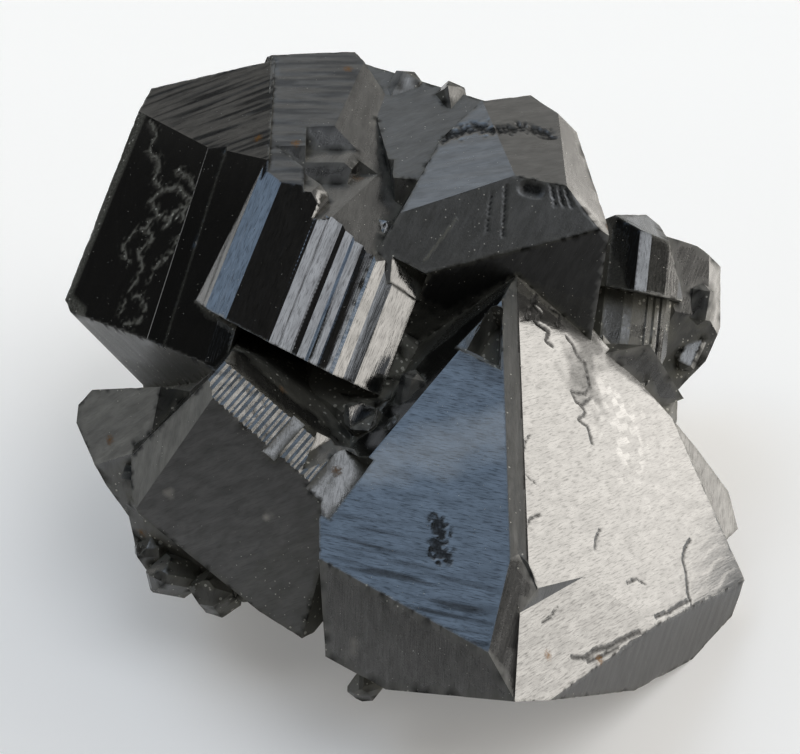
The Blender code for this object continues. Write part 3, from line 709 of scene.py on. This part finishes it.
# Matt white card: it gives the eye a plain pale ground with soft shadows. Its colour is painted a little
# darker in front, as painted shade for light that falls off towards the front.
card = bpy.data.materials.new("matt white card")
card.use_nodes = True
tree = card.node_tree
card_place = add(tree, "ShaderNodeTexCoord").outputs["Object"]
card_y = add(tree, "ShaderNodeSeparateXYZ", None, {"Vector": card_place}).outputs["Y"]
settings = {"From Min": SHADE_FROM, "From Max": SHADE_TO, "To Min": 0.0, "To Max": 1.0}
card_shade_share = add(tree, "ShaderNodeMapRange", settings, {"Value": card_y}).outputs["Result"]
settings = {"data_type": "RGBA", 6: linear(FRONT_PAINTED_SHADE), 7: linear(BACK_LIT_TONE)}
card_painted_shade = add(tree, "ShaderNodeMix", settings, {0: card_shade_share}).outputs[2]
card_surface = tree.nodes["Principled BSDF"]
tree.links.new(card_painted_shade, card_surface.inputs["Base Color"])
card_surface.inputs["Roughness"].default_value = 0.9
# painted light: the card glows faintly, though it is no lamp, which lifts the ground and its shadows
card_surface.inputs["Emission Color"].default_value = linear("ffffff")
card_surface.inputs["Emission Strength"].default_value = 0.18
table.data.materials.append(card)

# The light: a studio of soft boxes, written as the sky, each one a rectangle seen from the specimen.
# Each stands where some faces mirror it towards the camera, and faces that mirror none stay dark.
world = bpy.data.worlds.new("studio")
bpy.context.scene.world = world
world.use_nodes = True
world.node_tree.nodes.clear()
sky = world.node_tree
direction = add(sky, "ShaderNodeTexCoord").outputs["Generated"]
AHEAD = 0.01  # least cosine, so that a box isn't seen again on the far side of the sky


def soft_box(heading, slope, wide, high, soft, colour, strength):
    """A rectangular light that many degrees wide and high, with edges of the given softness."""
    centre = facing(heading, slope)
    side = Vector((-math.sin(math.radians(heading)), math.cos(math.radians(heading)), 0))
    settings = {"operation": "DOT_PRODUCT", 1: centre}
    ahead = add(sky, "ShaderNodeVectorMath", settings, {0: direction}).outputs["Value"]
    mask = add(sky, "ShaderNodeMath", {"operation": "GREATER_THAN", 1: AHEAD}, {0: ahead}).outputs[0]
    for axis, size in ((side, wide), (centre.cross(side), high)):
        settings = {"operation": "DOT_PRODUCT", 1: axis}
        along = add(sky, "ShaderNodeVectorMath", settings, {0: direction}).outputs["Value"]
        tangent = add(sky, "ShaderNodeMath", {"operation": "DIVIDE"}, {0: along, 1: ahead}).outputs[0]
        off = add(sky, "ShaderNodeMath", {"operation": "ABSOLUTE"}, {0: tangent}).outputs[0]
        edge = math.tan(math.radians(size / 2))
        settings = {"interpolation_type": "SMOOTHSTEP", "From Min": edge + soft, "From Max": edge - soft}
        settings.update({"To Min": 0.0, "To Max": 1.0})
        within = add(sky, "ShaderNodeMapRange", settings, {"Value": off}).outputs["Result"]
        mask = add(sky, "ShaderNodeMath", {"operation": "MULTIPLY"}, {0: mask, 1: within}).outputs[0]
    power = add(sky, "ShaderNodeMath", {"operation": "MULTIPLY", 1: strength}, {0: mask}).outputs[0]
    return add(sky, "ShaderNodeEmission", {"Color": linear(colour)}, {"Strength": power}).outputs["Emission"]


# (heading, slope, width and height in degrees, softness, colour, strength)
SOFT_BOXES = [
    (14, 10, 78, 42, 0.08, "fffaf2", 4.5),  # low on the right, for the bright face
    (325, 66, 34, 30, 0.10, "e6ebf2", 3.2),  # high in front on the right, for stripes of the belt
    (140, 58, 42, 30, 0.08, "a3bddb", 2.2),  # high behind on the left, for the blue face
    (184, 50, 14, 22, 0.06, "f2f5f8", 2.6),  # halfway up on the left, for a narrow stripe of the belt
    (90, 36, 100, 46, 0.25, "f6f4ee", 0.9),  # wide and weak behind, for the tops
    (186, 8, 28, 22, 0.08, "f2f4ee", 1.2),  # low on the left, for the pale faces at the left
]
DIM_ROOM, DIM_STRENGTH, BACKDROP = "cbc9c6", 0.12, "efefee"
total = add(sky, "ShaderNodeEmission", {"Color": linear(DIM_ROOM), "Strength": DIM_STRENGTH}).outputs[0]
for box in SOFT_BOXES:
    total = add(sky, "ShaderNodeAddShader", None, {0: total, 1: soft_box(*box)}).outputs[0]
backdrop = add(sky, "ShaderNodeEmission", {"Color": linear(BACKDROP), "Strength": 1.0}).outputs[0]
seen = add(sky, "ShaderNodeLightPath").outputs["Is Camera Ray"]
mixed = add(sky, "ShaderNodeMixShader", None, {0: seen, 1: total, 2: backdrop}).outputs[0]
add(sky, "ShaderNodeOutputWorld", None, {"Surface": mixed})

# The camera: above the front, at the photograph's angle as nearly as that could be told, with a 100 mm
# lens at about 13 cm.
camera_data = bpy.data.cameras.new("camera")
camera_data.lens = 100
camera_data.sensor_width = 36
camera_data.clip_start = 0.005
camera = bpy.data.objects.new("camera", camera_data)
bpy.context.scene.collection.objects.link(camera)
camera.location = EYE
camera.rotation_euler = (math.radians(90 - CAMERA_RISE), 0, 0)
bpy.context.scene.camera = camera
bpy.context.scene.view_settings.view_transform = "Standard"
